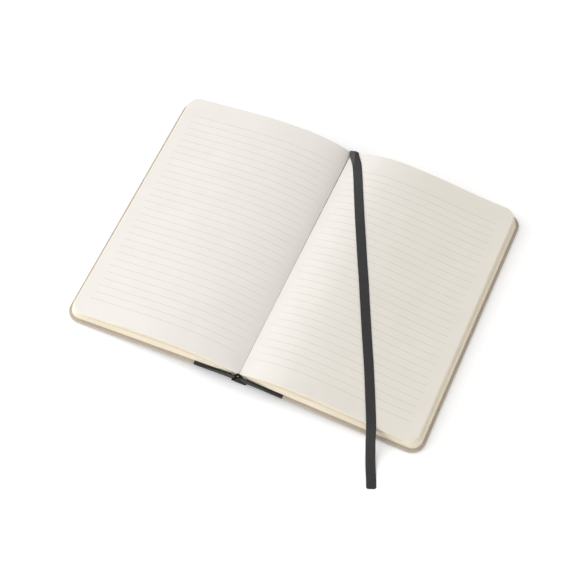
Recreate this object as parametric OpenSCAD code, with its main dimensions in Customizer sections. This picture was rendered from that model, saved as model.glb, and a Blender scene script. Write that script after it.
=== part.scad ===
// Hardcover ruled notebook, lying open near its middle.
// Origin: on the table, under the middle of the spine. X runs across the spread,
// Y from tail to head, Z up.

/* [Covers] */
// Height of the boards, tail to head
cover_h = 210; // [150:1:300]
// Width of one board, from the joint to the fore edge
board_w = 131.5; // [100:0.5:200]
// Thickness of the bare board
board_t = 1.8; // [1:0.1:3]
// Thickness of the covering material
cloth_t = 0.35; // [0.2:0.05:0.6]
// Radius of the cover corners at the fore edge
cover_r = 10.5; // [6:0.5:16]
// Width of the cloth that is turned in over the board
turn_in = 13; // [8:1:20]
// Width of the dark spine cloth on each board
quarter_w = 28; // [15:1:45]
// Height of the board's joint edge over the table when the book lies open
joint_rise = 8.5; // [7.5:0.1:9.5]
// Distance of the board's joint edge from the middle of the spine
joint_out = 6; // [5.7:0.1:6.6]

/* [Pages] */
// Height of the leaves
page_h = 205; // [140:1:290]
// Width of the rim of cover beyond the leaves at the fore edge
fore_square = 2.6; // [1.5:0.1:5]
// Radius of the leaf corners
page_r = 8; // [4:0.5:12]
// Height of the open page over the table at the gutter
gutter_up = 13.4; // [13:0.1:15]
// Inward lean of the stacked fore edges, in degrees
fore_lean = 17; // [0:1:30]
// Height of the front stack's hump over the table
front_hump = 21.4; // [19:0.1:22.6]
// Distance of the front hump from the gutter
front_hump_out = 45; // [30:1:60]
// Thickness of the front stack at its fore edge
front_edge_t = 9; // [5:0.1:12]
// How round the front page falls to its fore edge, from S-shaped to domed
front_dome = 0.6; // [0:0.05:1]
// Height of the back stack's hump over the table
back_hump = 22.8; // [19:0.1:23]
// Distance of the back hump from the gutter
back_hump_out = 38; // [30:1:60]
// Thickness of the back stack at its fore edge
back_edge_t = 9.6; // [5:0.1:12]
// How round the back page falls to its fore edge, from S-shaped to domed
back_dome = 0.1; // [0:0.05:1]
// Thickness of the pasted endpaper
endpaper_t = 0.15; // [0.1:0.05:0.3]
// Rim of turned-in cloth left bare by the endpaper at the fore edge
endpaper_in = 2.2; // [1:0.1:5]

/* [Spine] */
// Width of the folded spine seen from its end
spine_w = 10.6; // [8:0.1:10.8]
// Height of the folded sides of the spine
spine_side = 3.6; // [2:0.1:3.8]
// Radius of the spine's lower corners
spine_r = 2; // [1:0.1:2.5]
// Thickness of the spine cloth with its paper backing
spine_t = 0.5; // [0.3:0.05:0.8]
// Thickness of the spine card
card_t = 1; // [0.6:0.1:1.4]
// How far the spine's ends stay behind the ends of the lining
spine_short = 0.3; // [0:0.1:4]
// Height of the lining's ridge between the two stacks
ridge_up = 10.3; // [8:0.1:10.8]
// Width of the end bands
band_w = 2.8; // [1.5:0.1:4]
// Thickness of the end bands
band_t = 1; // [0.5:0.1:1]
// Height of the end bands' top over the table
band_up = 14.8; // [12:0.1:15]

/* [Turning] */
// Distance of each cover's turning line from the middle of the spine
turn_out = 11; // [10.5:0.1:12]
// Free space at the backs of the stacks
turn_gap = 0.3; // [0.2:0.05:0.5]

/* [Ribbon] */
// Width of the ribbon marker
ribbon_w = 7; // [4:0.5:10]
// Thickness of the ribbon marker
ribbon_t = 0.3; // [0.2:0.05:0.4]
// Free space between the ribbon and what it lies on
ribbon_gap = 0.45; // [0.4:0.05:0.8]

/* [Hidden] */
$fn = 64;

cover_t = board_t + 2 * cloth_t;
// Slope of an open cover: its joint edge is raised and its fore edge rests on the table.
slope = asin(joint_rise / board_w);
lining_h = page_h + 2 * turn_gap;
spine_h = lining_h - 2 * spine_short;
// Gap between a leaf edge and the middle plane, and the radius that the stack's back turns on.
half_gap = turn_gap / 3;
back_r = turn_out - half_gap;
leaf_out = board_w - fore_square;
page_top_steps = 40;
arc_steps = 6;
// Lower edge of the stacks' backs and its distance from the joint edge of the board.
back_low = 9.6;
back_in = 0.6;
// Reach of the cutting shapes, longer than the whole book.
span = 2 * (board_w + page_h);
tiny = 0.01;

// Distance out and height of a point given along and over the open cover.
function out_x(u, w) = joint_out + u * cos(slope) + w * sin(slope);
function up_z(u, w) = joint_rise - u * sin(slope) + w * cos(slope);
// Height of the endpaper's surface at a distance from the gutter.
leaf_w = cover_t + endpaper_t;
function floor_z(x) = up_z(0, leaf_w) - (x - out_x(0, leaf_w)) * tan(slope);

fore_x = out_x(leaf_out, leaf_w);
fore_z = floor_z(fore_x);

// Height of the open page at a distance from the gutter.
function fall(t, dome) = (1 - dome) * (1 + cos(180 * t)) / 2 + dome * cos(90 * t);
function page_z(x, hump, hump_out, edge_x, edge_z, dome) = x < hump_out
    ? gutter_up + (hump - gutter_up) * sin(90 * x / hump_out)
    : edge_z + (hump - edge_z) * fall((x - hump_out) / (edge_x - hump_out), dome);

function stack_profile(hump, hump_out, edge_t, dome) =
    let (edge_x = fore_x - edge_t * tan(fore_lean), edge_z = floor_z(edge_x) + edge_t)
    concat(
        [for (i = [0 : page_top_steps])
            let (x = half_gap + (edge_x - half_gap) * i / page_top_steps)
            [x, page_z(x, hump, hump_out, edge_x, edge_z, dome)]],
        [[fore_x + edge_t, edge_z], [fore_x + edge_t, floor_z(fore_x + edge_t)]],
        [[joint_out - back_in, floor_z(joint_out - back_in)], [joint_out - back_in, back_low]],
        [for (i = [arc_steps : -1 : 1])
            let (a = asin((gutter_up - back_low) / back_r) * i / arc_steps)
            [turn_out - back_r * cos(a), gutter_up - back_r * sin(a)]]
    );

// Flat outline with two round corners at its far end.
module outline(from, to, h, r) {
    translate([from, -h / 2]) square([to - from - r, h]);
    translate([to - r - tiny, -h / 2 + r]) square([r + tiny, h - 2 * r]);
    for (s = [-1, 1]) translate([to - r, s * (h / 2 - r)]) circle(r);
}

module slab(from, to, h, r, low, high) {
    translate([0, 0, low]) linear_extrude(high - low) outline(from, to, h, r);
}

// Places what lies along the open cover: X from the joint edge, Z from the outside face.
module on_cover() {
    translate([joint_out, 0, joint_rise]) rotate([0, slope, 0]) children();
}

module sided(side) {
    if (side > 0) children();
    else mirror([1, 0, 0]) children();
}

module board_core() {
    slab(cloth_t, board_w - cloth_t, cover_h - 2 * cloth_t, cover_r - cloth_t,
        cloth_t, cloth_t + board_t);
}

// Opening in the turned-in cloth, filled by the endpaper.
module window(low, high) {
    translate([turn_in / 2, -cover_h / 2 + turn_in, low])
        cube([board_w - 1.5 * turn_in, cover_h - 2 * turn_in, high - low]);
}

module covering(from, to) {
    difference() {
        intersection() {
            slab(0, board_w, cover_h, cover_r, 0, cover_t);
            translate([from, -cover_h, -cover_t])
                cube([to - from, 2 * cover_h, 3 * cover_t]);
        }
        board_core();
        window(cloth_t, 2 * cover_t);
    }
}

module board(side) {
    color("#a08c70") sided(side) on_cover() board_core();
}

module cover_cloth(side) {
    color("#a39a8d") sided(side) on_cover() covering(quarter_w, board_w + cover_t);
}

module quarter_cloth(side) {
    color("#2b2b2a") sided(side) on_cover() covering(-cover_t, quarter_w);
}

module endpaper(side) {
    color("#ece4d6") sided(side) on_cover() {
        window(cloth_t + board_t, cover_t + endpaper_t / 2);
        slab(endpaper_in / 2, board_w - endpaper_in, page_h,
            cover_r - endpaper_in, cover_t, cover_t + endpaper_t);
    }
}

module pages(side, hump, hump_out, edge_t, dome) {
    color("#f1e9dc") sided(side) intersection() {
        rotate([90, 0, 0]) translate([0, 0, -page_h / 2]) linear_extrude(page_h)
            polygon(stack_profile(hump, hump_out, edge_t, dome));
        translate([fore_x, 0, fore_z]) rotate([0, -fore_lean, 0])
            translate([0, 0, -span / 2]) linear_extrude(span)
                outline(-span / 2, 0, page_h + 2 * tiny, page_r);
    }
}

// Section of the folded spine, open at its top.
module trough(w, h, r) {
    translate([-w / 2, r]) square([w, h - r]);
    translate([-w / 2 + r, 0]) square([w - 2 * r, h]);
    for (s = [-1, 1]) translate([s * (w / 2 - r), r]) circle(r);
}

module along_spine(len) {
    rotate([90, 0, 0]) translate([0, 0, -len / 2]) linear_extrude(len) children();
}

module spine_cloth() {
    color("#2b2b2a") along_spine(spine_h) difference() {
        trough(spine_w, spine_side, spine_r);
        translate([0, spine_t]) trough(spine_w - 2 * spine_t, spine_side, spine_r - spine_t);
    }
}

card_w = spine_w - 2 * spine_r;
module spine_card() {
    color("#a08c70") translate([-card_w / 2, -spine_h / 2, spine_t])
        cube([card_w, spine_h, card_t]);
}

module back_lining() {
    low = spine_t + card_t;
    color("#d9cfbd") difference() {
        translate([-card_w / 2, -lining_h / 2, low]) cube([card_w, lining_h, ridge_up - low]);
        for (s = [-1, 1]) translate([s * turn_out, 0, gutter_up]) rotate([90, 0, 0])
            cylinder(r = back_r + turn_gap, h = 2 * cover_h, center = true, $fn = 96);
    }
}

module end_band(side) {
    low = spine_t + card_t;
    color("#201e1e") translate([0, side * (lining_h + band_t) / 2, 0]) along_spine(band_t) {
        translate([-band_w / 2, low]) square([band_w, band_up - band_w / 2 - low]);
        translate([0, band_up - band_w / 2]) circle(band_w / 2);
    }
}

// Height of the open page at the back, and the middle of the ribbon where it lies on it.
function back_z(x) =
    let (edge_x = fore_x - back_edge_t * tan(fore_lean), edge_z = floor_z(edge_x) + back_edge_t)
    page_z(x, back_hump, back_hump_out, edge_x, edge_z, back_dome);
ribbon_lift = ribbon_t / 2 + ribbon_gap;

// Route of the ribbon: x, y, z, rise across its width, turn of its face from up to head.
// It comes up outside the headband and turns over the head edge beside it, clear of the band
// when the back cover turns,
head_y = lining_h / 2 + band_t + ribbon_lift;
ribbon_head = [for (p = [[5.8, 0, -3.3, 0, 90], [5.8, 0.1, -1.8, 0, 90],
    [5.8, 0, -0.1, 0.05, 75], [5.8, -0.7, 1.1, 0.15, 40], [5.9, -2.5, 1.8, 0.3, 5]])
    [p[0], head_y + p[1], band_up + p[2], p[3], p[4]]];
// lies on the page, by distance from the gutter and place from head (1) to tail (-1),
ribbon_page = [for (p = [[6.6, 0.955], [9.4, 0.885], [14.4, 0.78], [19.4, 0.67], [24.9, 0.55],
    [30.8, 0.425], [36.6, 0.305], [41.9, 0.195], [47.3, 0.085], [53, -0.03], [57.8, -0.13],
    [63.4, -0.245], [69, -0.36], [74.9, -0.48], [80.6, -0.595], [86.1, -0.71], [91, -0.815],
    [95.2, -0.905], [98.6, -0.985]])
    [p[0], p[1] * page_h / 2, back_z(p[0]) + ribbon_lift,
        back_z(p[0] + 0.5) - back_z(p[0] - 0.5), 0]];
// bends over the tail edge of the page,
ribbon_edge = [for (p = [[99.8, -0.9, 0.5, -0.1, -14], [100.8, -3.1, -0.8, -0.08, -38],
    [101.8, -5.9, -3.2, -0.05, -45]])
    [p[0], p[1] - page_h / 2, back_z(p[0]) + p[2], p[3], p[4]]];
// and falls past the tail of the cover and the leaves to the table.
tail_y = -max(cover_h, page_h) / 2;
ribbon_end = [for (p = [[103.2, -7, 8.7, -0.04, -42], [105.1, -11.4, 5.3, -0.02, -32],
    [107.2, -16.4, 2.6, 0, -20], [110.1, -22.8, 0.9, 0, -8], [112.9, -28.8, 0.3, 0, 0],
    [115.4, -34.8, 0.3, 0, 0]])
    [p[0], tail_y + p[1], p[2], p[3], p[4]]];
ribbon_route = concat(ribbon_head, ribbon_page, ribbon_edge, ribbon_end);

function unit(v) = v / norm(v);
function xyz(p) = [p[0], p[1], p[2]];
function ribbon_dir(i) = unit(xyz(ribbon_route[min(i + 1, len(ribbon_route) - 1)])
    - xyz(ribbon_route[max(i - 1, 0)]));
// Direction across the ribbon and the normal of its face at a route point.
function face_hint(p) = [-p[3], sin(p[4]), cos(p[4])];
function ribbon_across(i) = unit(cross(ribbon_dir(i), face_hint(ribbon_route[i])));
function ribbon_up(i) = cross(ribbon_across(i), ribbon_dir(i));
function ribbon_ring(i) = let (c = xyz(ribbon_route[i]), a = ribbon_across(i) * ribbon_w / 2,
    n = ribbon_up(i) * ribbon_t / 2)
    [c - a - n, c - a + n, c + a + n, c + a - n];

module ribbon_marker() {
    rings = [for (i = [0 : len(ribbon_route) - 1]) each ribbon_ring(i)];
    last = 4 * (len(ribbon_route) - 1);
    sides = [for (i = [0 : len(ribbon_route) - 2], k = [0 : 3])
        each let (a = 4 * i + k, b = 4 * i + (k + 1) % 4) [[a, b, b + 4], [a, b + 4, a + 4]]];
    color("#3c3a3a") polyhedron(points = rings,
        faces = concat(sides, [[3, 2, 1, 0], [last, last + 1, last + 2, last + 3]]));
}

spine_cloth();
spine_card();
back_lining();
end_band(1);  // headband
end_band(-1);  // tailband
board(-1);  // front_board
cover_cloth(-1);  // front_cover_cloth
quarter_cloth(-1);  // front_spine_cloth
endpaper(-1);  // front_endpaper
pages(-1, front_hump, front_hump_out, front_edge_t, front_dome);  // front_pages
board(1);  // back_board
cover_cloth(1);  // back_cover_cloth
quarter_cloth(1);  // back_spine_cloth
endpaper(1);  // back_endpaper
pages(1, back_hump, back_hump_out, back_edge_t, back_dome);  // back_pages
ribbon_marker();
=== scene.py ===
import math
import bmesh
import bpy
import numpy as np
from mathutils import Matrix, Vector


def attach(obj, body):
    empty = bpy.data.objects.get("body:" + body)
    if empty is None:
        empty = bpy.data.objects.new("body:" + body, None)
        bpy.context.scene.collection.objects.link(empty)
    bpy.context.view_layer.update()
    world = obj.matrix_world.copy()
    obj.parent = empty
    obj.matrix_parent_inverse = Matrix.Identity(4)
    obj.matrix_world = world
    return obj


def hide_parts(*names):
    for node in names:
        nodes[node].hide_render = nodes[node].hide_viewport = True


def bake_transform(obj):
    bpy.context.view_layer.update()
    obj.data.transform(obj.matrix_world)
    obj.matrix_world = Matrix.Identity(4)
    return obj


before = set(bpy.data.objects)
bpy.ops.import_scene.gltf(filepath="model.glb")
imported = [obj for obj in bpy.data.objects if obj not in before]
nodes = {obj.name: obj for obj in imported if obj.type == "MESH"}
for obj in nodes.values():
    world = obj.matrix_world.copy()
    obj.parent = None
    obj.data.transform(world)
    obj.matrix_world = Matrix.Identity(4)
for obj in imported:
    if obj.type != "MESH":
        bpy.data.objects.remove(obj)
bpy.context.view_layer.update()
mm = 0.001

# Main sizes of the book in mm, as in the part's source
bookSizes = {
    "coverHeight": 210, "boardWidth": 131.5, "coverThickness": 2.5, "coverCorner": 10.5,
    "quarterWidth": 28, "jointRise": 8.5, "jointOut": 6, "endpaperThickness": 0.15,
    "pageHeight": 205, "pageCorner": 8, "foreSquare": 2.6, "gutterHeight": 13.4, "foreLean": 17,
    "turnOut": 11, "backRadius": 10.9, "backLow": 9.6, "backEdge": 5.4,
    "spineWidth": 10.6, "spineSide": 3.6,
}
# Height and place of each stack's hump, its thickness at the fore edge, and how round it falls
stackSizes = {
    "front": {"hump": 21.4, "humpOut": 45, "edge": 9.0, "dome": 0.6},
    "back": {"hump": 22.8, "humpOut": 38, "edge": 9.6, "dome": 0.1},
}
# The crease between the open pages lies lower at the head than at the tail, and the front
# page falls to it more steeply there (1 is an even fall)
crease = {"tailHeight": 14.2, "headHeight": 11.8, "headFall": {"front": 0.7, "back": 1.0}}
side = {"front": -1, "back": 1}
slope = math.asin(bookSizes["jointRise"] / bookSizes["boardWidth"])


def outX(u, w):
    return bookSizes["jointOut"] + u * math.cos(slope) + w * math.sin(slope)


def upZ(u, w):
    return bookSizes["jointRise"] - u * math.sin(slope) + w * math.cos(slope)


leafBase = bookSizes["coverThickness"] + bookSizes["endpaperThickness"]
foreX = outX(bookSizes["boardWidth"] - bookSizes["foreSquare"], leafBase)


def floorZ(x):
    return upZ(0, leafBase) - (x - outX(0, leafBase)) * math.tan(slope)


def creaseTurn(y):  # how far round the turning line the crease lies, from the line's own height
    share = 0.5 + y / bookSizes["pageHeight"]
    height = crease["tailHeight"] + (crease["headHeight"] - crease["tailHeight"]) * share
    return math.asin((bookSizes["gutterHeight"] - height) / bookSizes["backRadius"])


def creasePoint(turn):
    return (bookSizes["turnOut"] - bookSizes["backRadius"] * math.cos(turn),
            bookSizes["gutterHeight"] - bookSizes["backRadius"] * math.sin(turn))


def topEdgeX(name):
    return foreX - stackSizes[name]["edge"] * math.tan(math.radians(bookSizes["foreLean"]))


def pageZ(name, x, y):  # height of the open page at a distance from the gutter
    s = stackSizes[name]
    edgeX = topEdgeX(name)
    edgeZ = floorZ(edgeX) + s["edge"]
    if x < s["humpOut"]:
        startX, startZ = creasePoint(creaseTurn(y))
        fall = 1 + (crease["headFall"][name] - 1) * (0.5 + y / bookSizes["pageHeight"])
        rise = math.sin(math.pi / 2 * (max(x - startX, 0) / (s["humpOut"] - startX)) ** fall)
        return startZ + (s["hump"] - startZ) * rise
    t = min((x - s["humpOut"]) / (edgeX - s["humpOut"]), 1)
    fall = (1 - s["dome"]) * (1 + math.cos(math.pi * t)) / 2 + s["dome"] * math.cos(math.pi / 2 * t)
    return edgeZ + (s["hump"] - edgeZ) * fall


# Camera, at the photograph's viewing angle
cameraPlace = {"location": (0.2407, -0.5617, 1.0362), "tiltFromAbove": 29.69, "turn": 23.52,
               "lens": 101.05, "sensor": 36, "clip": (0.05, 20)}


def linkObject(name, data):
    obj = bpy.data.objects.new(name, data)
    bpy.context.scene.collection.objects.link(obj)
    return obj


cameraData = bpy.data.cameras.new("bookCamera")
cameraData.lens = cameraPlace["lens"]
cameraData.sensor_width = cameraPlace["sensor"]
cameraData.dof.use_dof = False
cameraData.clip_start, cameraData.clip_end = cameraPlace["clip"]
camera = linkObject("bookCamera", cameraData)
camera.location = cameraPlace["location"]
camera.rotation_euler = (math.radians(cameraPlace["tiltFromAbove"]), 0,
                         math.radians(cameraPlace["turn"]))
bpy.context.scene.camera = camera


# Mesh helpers
def meshObject(name, points, faces):  # points in mm
    mesh = bpy.data.meshes.new(name)
    mesh.from_pydata([tuple(c * mm for c in p) for p in points], [], faces)
    mesh.validate()
    mesh.update()
    mesh.polygons.foreach_set("use_smooth", [True] * len(mesh.polygons))
    return linkObject(name, mesh)


def faceOut(obj, merge=True):  # one outward side all over a closed mesh
    bm = bmesh.new()
    bm.from_mesh(obj.data)
    if merge:
        bmesh.ops.remove_doubles(bm, verts=bm.verts, dist=1e-7)
    bmesh.ops.recalc_face_normals(bm, faces=bm.faces)
    bm.to_mesh(obj.data)
    bm.free()


def sharpen(obj, degrees):  # edges steeper than this stay crisp
    bm = bmesh.new()
    bm.from_mesh(obj.data)
    limit = math.radians(degrees)
    for edge in bm.edges:
        edge.smooth = len(edge.link_faces) != 2 or edge.calc_face_angle(0) < limit
    bm.to_mesh(obj.data)
    bm.free()


def joinRings(bm, rings):  # rings of points joined in turn, with a face at both ends
    made = [[bm.verts.new(point) for point in ring] for ring in rings]
    count = len(made[0])
    for low, high in zip(made, made[1:]):
        for n in range(count):
            m = (n + 1) % count
            bm.faces.new((low[n], low[m], high[m], high[n]))
    bm.faces.new(made[0])
    bm.faces.new(made[-1])


def layOut(obj, spots):  # the piece's own map, in mm
    layer = obj.data.uv_layers.new(name="layout")
    for loop in obj.data.loops:
        layer.data[loop.index].uv = spots[loop.vertex_index]


def paint(obj, *materials):
    obj.data.materials.clear()
    for material in materials:
        obj.data.materials.append(material)


# Node helpers
def feed(tree, socket, source):
    if isinstance(source, bpy.types.NodeSocket):
        tree.links.new(source, socket)
    else:
        socket.default_value = source


def addNode(tree, kind, inputs=None, **settings):
    made = tree.nodes.new(kind)
    for key, setting in settings.items():
        setattr(made, key, setting)
    for key, source in (inputs or {}).items():
        feed(tree, made.inputs[key], source)
    return made


def calc(tree, operation, a, b=0.0, c=0.0, clamp=False):
    made = addNode(tree, "ShaderNodeMath", {0: a, 1: b, 2: c}, operation=operation)
    made.use_clamp = clamp
    return made.outputs[0]


def plus(tree, a, b, clamp=False):
    return calc(tree, "ADD", a, b, clamp=clamp)


def minus(tree, a, b):
    return calc(tree, "SUBTRACT", a, b)


def times(tree, a, b, clamp=False):
    return calc(tree, "MULTIPLY", a, b, clamp=clamp)


def absolute(tree, a):
    return calc(tree, "ABSOLUTE", a)


def remap(tree, source, fromLow, fromHigh, low=0.0, high=1.0, **settings):
    ends = {0: source, 1: fromLow, 2: fromHigh, 3: low, 4: high}
    return addNode(tree, "ShaderNodeMapRange", ends, **settings).outputs[0]


def choose(tree, share, a, b):
    return addNode(tree, "ShaderNodeMix", {0: share, 2: a, 3: b}).outputs[0]


def blendColour(tree, share, a, b, mode="MIX"):
    return addNode(tree, "ShaderNodeMix", {0: share, 6: a, 7: b}, data_type="RGBA",
                   blend_type=mode).outputs[2]


def split(tree, place):
    return addNode(tree, "ShaderNodeSeparateXYZ", {0: place}).outputs


def join(tree, x, y, z=0.0):
    return addNode(tree, "ShaderNodeCombineXYZ", {0: x, 1: y, 2: z}).outputs[0]


def stretch(tree, place, by):
    return addNode(tree, "ShaderNodeVectorMath", {0: place, 1: by},
                   operation="MULTIPLY").outputs[0]


def noise(tree, place, scale, detail, roughness=0.5, distortion=0.0):
    return addNode(tree, "ShaderNodeTexNoise",
                   {"Vector": place, "Scale": scale, "Detail": detail, "Roughness": roughness,
                    "Distortion": distortion}).outputs["Fac"]


def newGroup(name, inputs, outputs, kind="ShaderNodeTree"):
    tree = bpy.data.node_groups.new(name, kind)
    for label, socketType, start in inputs:
        socket = tree.interface.new_socket(label, in_out="INPUT", socket_type=socketType)
        if start is not None:
            socket.default_value = start
    for label, socketType in outputs:
        tree.interface.new_socket(label, in_out="OUTPUT", socket_type=socketType)
    return tree, addNode(tree, "NodeGroupInput").outputs, addNode(tree, "NodeGroupOutput").inputs


def placeGroup(tree, group, **values):
    return addNode(tree, "ShaderNodeGroup", values, node_tree=group).outputs


def newMaterial(name, roughness, sheen=0.0, specular=0.5):
    material = bpy.data.materials.new(name)
    material.use_nodes = True
    tree = material.node_tree
    shader = tree.nodes["Principled BSDF"]
    shader.inputs["Roughness"].default_value = roughness
    shader.inputs["Sheen Weight"].default_value = sheen
    shader.inputs["Specular IOR Level"].default_value = specular
    return material, tree, shader


def bumpFrom(tree, shader, height, strength, distance):
    made = addNode(tree, "ShaderNodeBump", {"Height": height, "Strength": strength,
                                            "Distance": distance})
    tree.links.new(made.outputs[0], shader.inputs["Normal"])


# Shader groups shared by the materials
colour, value, vector = "NodeSocketColor", "NodeSocketFloat", "NodeSocketVector"


def makeThreadWeave():  # over-and-under threads on a flat place in mm; slubs thicken some threads
    tree, gin, gout = newGroup(
        "threadWeave",
        [("Place", vector, None), ("Across", value, 0.4), ("Along", value, 0.4),
         ("Slubs", value, 0.2)],
        [("Height", value), ("Shade", value)])
    parts = split(tree, gin["Place"])
    wobble = noise(tree, gin["Place"], 0.35, 2.0)
    shift = times(tree, minus(tree, wobble, 0.5), gin["Slubs"])
    p = plus(tree, calc(tree, "DIVIDE", parts["X"], gin["Across"]), shift)
    q = minus(tree, calc(tree, "DIVIDE", parts["Y"], gin["Along"]), shift)
    roundP, roundQ = [absolute(tree, calc(tree, "SINE", times(tree, k, math.pi))) for k in (p, q)]
    over = calc(tree, "PINGPONG", plus(tree, calc(tree, "FLOOR", p), calc(tree, "FLOOR", q)), 1.0)
    woven = plus(tree, times(tree, over, roundP), times(tree, minus(tree, 1.0, over), roundQ))
    slubA = noise(tree, join(tree, times(tree, p, 0.9), times(tree, q, 0.06)), 1.0, 1.0)
    slubB = noise(tree, join(tree, times(tree, p, 0.06), times(tree, q, 0.9)), 1.0, 1.0)
    slub = times(tree, minus(tree, plus(tree, slubA, slubB), 1.0), gin["Slubs"])
    tree.links.new(plus(tree, woven, slub), gout["Height"])
    # Painted shade: the Shade output makes the thread tops lighter and the gaps between them darker,
    # from the threads' rounding
    shade = calc(tree, "MULTIPLY_ADD", woven, 0.35, 0.65)
    tree.links.new(plus(tree, shade, slub, clamp=True), gout["Shade"])
    return tree


def makePaperFibre():  # soft cloudiness and short fibres of paper; place in mm
    tree, gin, gout = newGroup(
        "paperFibre", [("Place", vector, None), ("Colour", colour, None), ("Amount", value, 0.5)],
        [("Colour", colour), ("Height", value)])
    cloud = noise(tree, gin["Place"], 0.06, 4.0, 0.55)
    grain = noise(tree, gin["Place"], 2.4, 5.0, 0.65, 0.6)
    both = plus(tree, times(tree, cloud, 0.6), times(tree, grain, 0.4))
    tone = times(tree, minus(tree, both, 0.5), gin["Amount"])
    brightness = plus(tree, 1.0, times(tree, tone, 0.25))
    tint = addNode(tree, "ShaderNodeHueSaturation", {"Value": brightness, "Color": gin["Colour"]})
    tree.links.new(tint.outputs[0], gout["Colour"])
    tree.links.new(grain, gout["Height"])
    return tree


def makeRubbedEdge():  # rubbed places on edges, from how the slope changes over a short radius
    tree, gin, gout = newGroup(
        "rubbedEdge", [("Place", vector, None), ("Reach", value, 0.0006), ("Amount", value, 0.5)],
        [("Mask", value)])
    rounded = addNode(tree, "ShaderNodeBevel", {"Radius": gin["Reach"]}, samples=4).outputs[0]
    plain = addNode(tree, "ShaderNodeNewGeometry").outputs["Normal"]
    bend = addNode(tree, "ShaderNodeVectorMath", {0: rounded, 1: plain},
                   operation="DOT_PRODUCT").outputs["Value"]
    worn = noise(tree, gin["Place"], 0.5, 6.0, 0.7)
    edge = times(tree, minus(tree, 1.0, bend), 6.0, clamp=True)
    tree.links.new(times(tree, edge, times(tree, worn, gin["Amount"]), clamp=True), gout["Mask"])
    return tree


threadWeave, paperFibre, rubbedEdge = makeThreadWeave(), makePaperFibre(), makeRubbedEdge()


# Places on the surface, in mm
def placeInMm(tree):
    return stretch(tree, addNode(tree, "ShaderNodeTexCoord").outputs["Object"], (1000, 1000, 1000))


def restPlace(tree):  # the leaves' place at rest, kept as an attribute on their mesh
    return addNode(tree, "ShaderNodeAttribute", attribute_name="restPlace").outputs["Vector"]


def mapPlace(tree):  # the piece's own map
    return addNode(tree, "ShaderNodeUVMap", uv_map="layout").outputs[0]


def flatPlace(tree):  # lays a pattern on top, ends or sides by which way the surface faces
    place = split(tree, placeInMm(tree))
    facing = split(tree, addNode(tree, "ShaderNodeTexCoord").outputs["Normal"])
    onTop = calc(tree, "GREATER_THAN", absolute(tree, facing["Z"]), 0.6)
    onEnd = calc(tree, "GREATER_THAN", absolute(tree, facing["Y"]), absolute(tree, facing["X"]))
    sideways = choose(tree, onEnd, place["Y"], place["X"])
    return join(tree, choose(tree, onTop, sideways, place["X"]),
                choose(tree, onTop, place["Z"], place["Y"]))


# Cloths: colours of the gaps and the threads, width of a thread in mm, unevenness, roughness,
# sheen, depth of the weave, and how much and to what colour the edges are rubbed
# The gaps' colour is painted shade between the threads
clothLooks = {
    "cover": {"gaps": (0.265, 0.218, 0.172, 1), "threads": (0.555, 0.485, 0.40, 1), "width": 0.42,
              "slubs": 0.5, "roughness": 0.85, "sheen": 0.15, "depth": 0.55, "rub": 0.5,
              "rubbed": (0.58, 0.53, 0.46, 1)},
    "spine": {"gaps": (0.010, 0.010, 0.010, 1), "threads": (0.034, 0.034, 0.033, 1), "width": 0.34,
              "slubs": 0.3, "roughness": 0.75, "sheen": 0.1, "depth": 0.6, "rub": 0.35,
              "rubbed": (0.10, 0.097, 0.092, 1)},
    "band": {"gaps": (0.004, 0.0035, 0.0035, 1), "threads": (0.013, 0.011, 0.011, 1),
             "width": 0.25, "slubs": 0.4, "roughness": 0.8, "sheen": 0.0, "depth": 0.5, "rub": 0.1,
             "rubbed": (0.03, 0.03, 0.03, 1)},
}


def clothMaterial(name, look, place):
    d = clothLooks[look]
    material, tree, shader = newMaterial(name, d["roughness"], d["sheen"], 0.15)
    flat = place(tree)
    weave = placeGroup(tree, threadWeave, Place=flat, Across=d["width"], Along=d["width"],
                       Slubs=d["slubs"])
    cloudy = calc(tree, "MULTIPLY_ADD", noise(tree, flat, 0.12, 5.0, 0.6), 0.5, 0.75)
    body = blendColour(tree, times(tree, weave["Shade"], cloudy, clamp=True), d["gaps"],
                       d["threads"])
    edge = placeGroup(tree, rubbedEdge, Place=flat, Reach=0.0007, Amount=d["rub"])
    tree.links.new(blendColour(tree, edge["Mask"], body, d["rubbed"]), shader.inputs["Base Color"])
    tree.links.new(calc(tree, "MULTIPLY_ADD", weave["Height"], -0.1, d["roughness"]),
                   shader.inputs["Roughness"])
    bumpFrom(tree, shader, weave["Height"], d["depth"], 0.00025)
    return material


coverCloth = clothMaterial("coverCloth", "cover", flatPlace)
spineCloth = clothMaterial("spineCloth", "spine", flatPlace)
hingeCloth = clothMaterial("hingeCloth", "spine", mapPlace)
bandThreadAndCardShade = clothMaterial("bandThreadAndCardShade", "band", flatPlace)

# Plain papers and boards: colour, roughness, gloss, cloudiness, and strength and depth of the grain
paperLooks = {
    "greyBoard": {"base": (0.34, 0.27, 0.19, 1), "roughness": 0.9, "gloss": 0.2, "cloudy": 1.6,
                  "grain": 0.5, "depth": 0.0002},
    # Painted shade: the lining at the back of the leaves is coloured near black, as the space between
    # the boards at the ends lies in shade
    "liningPaintedShade": {"base": (0.03, 0.028, 0.026, 1), "roughness": 0.9, "gloss": 0.2,
                    "cloudy": 1.6, "grain": 0.5, "depth": 0.0002},
    "endpaperPaper": {"base": (0.87, 0.82, 0.73, 1), "roughness": 0.82, "gloss": 0.3,
                      "cloudy": 0.6, "grain": 0.25, "depth": 0.00008},
}


def paperMaterial(name):
    d = paperLooks[name]
    material, tree, shader = newMaterial(name, d["roughness"], 0.0, d["gloss"])
    fibre = placeGroup(tree, paperFibre, Place=placeInMm(tree), Colour=d["base"],
                       Amount=d["cloudy"])
    tree.links.new(fibre["Colour"], shader.inputs["Base Color"])
    bumpFrom(tree, shader, fibre["Height"], d["grain"], d["depth"])
    return material


greyBoard, liningPaintedShade, endpaperPaper = [paperMaterial(name) for name in paperLooks]

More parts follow.
